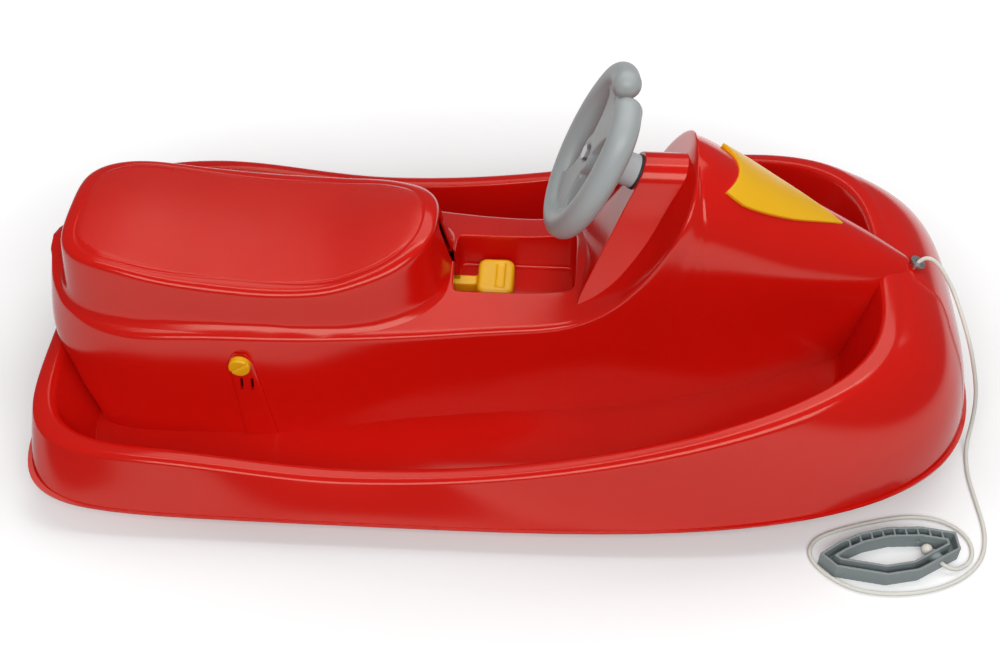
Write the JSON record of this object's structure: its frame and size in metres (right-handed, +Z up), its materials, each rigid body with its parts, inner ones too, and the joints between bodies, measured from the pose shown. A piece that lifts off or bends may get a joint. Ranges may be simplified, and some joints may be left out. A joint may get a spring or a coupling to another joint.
{
  "type": "steering sled",
  "caption": "Child's plastic snow sled with a wide hull, a saddle seat, a steering wheel that turns a fin under the bow, a lever brake with a claw and a tow rope.",
  "frame": {"origin": "on the ground, under the middle of the hull", "axes": "+X to the bow, +Y to the rider's left, +Z up"},
  "size_m": [1.1714, 0.6603, 0.4542],
  "materials": {
    "red_plastic": "gloss moulded polyethylene",
    "yellow_plastic": "gloss moulded polyethylene",
    "wheel_grey": "satin moulded plastic",
    "hub_silver": "satin silver plastic",
    "dark_plastic": "matte dark plastic",
    "handle_grey": "matte moulded plastic",
    "steel": "zinc plated",
    "fin_black": "matte hard plastic",
    "rope": "braided cord"
  },
  "bodies": {
    "sled": {"hull_tub": "red_plastic", "keel_pan": "red_plastic", "body_cowl": "red_plastic", "nose_panel": "yellow_plastic", "brake_knob_left": "yellow_plastic", "brake_knob_right": "yellow_plastic", "dash_collar": "dark_plastic", "column_bush": "dark_plastic", "kingpin_bush_upper": "dark_plastic", "kingpin_bush_lower": "dark_plastic", "column_bulkhead": "dark_plastic", "kingpin_post": "dark_plastic", "tow_handle": "handle_grey", "post_screws": "steel", "brake_axle": "steel", "cowl_screws": "steel", "tow_eyelet": "steel", "tow_rope": "rope", "eyelet_knot": "rope", "handle_knot": "rope"},
    "steering": {"steering_wheel": "wheel_grey", "wheel_hub": "hub_silver", "wheel_bolt": "steel", "steering_column": "steel", "column_ring": "steel", "drop_arm": "steel"},
    "fin": {"kingpin": "steel", "tiller_fork": "steel", "kingpin_nut": "steel", "steering_fin": "fin_black", "fin_pin": "steel"},
    "brake": {"brake_lever": "yellow_plastic", "brake_claw": "steel", "claw_rivets": "steel"}
  },
  "joints": [
    {"name": "steer", "type": "hinge", "parent": "sled", "child": "steering", "pos_m": [0.095, 0, 0.355], "axis": [-0.9171, 0, 0.3987], "range_deg": [-35, 35]},
    {"name": "fin_turn", "type": "hinge", "parent": "sled", "child": "fin", "pos_m": [0.3, 0, 0.1], "axis": [0, 0, 1], "range_deg": [-22, 22]},
    {"name": "brake_pull", "type": "hinge", "parent": "sled", "child": "brake", "pos_m": [-0.32, 0, 0.13], "axis": [0, -1, 0], "range_deg": [0, 20]}
  ],
  "couplings": [
    {"joint": "fin_turn", "follows": "steer", "ratio": 0.62}
  ]
}
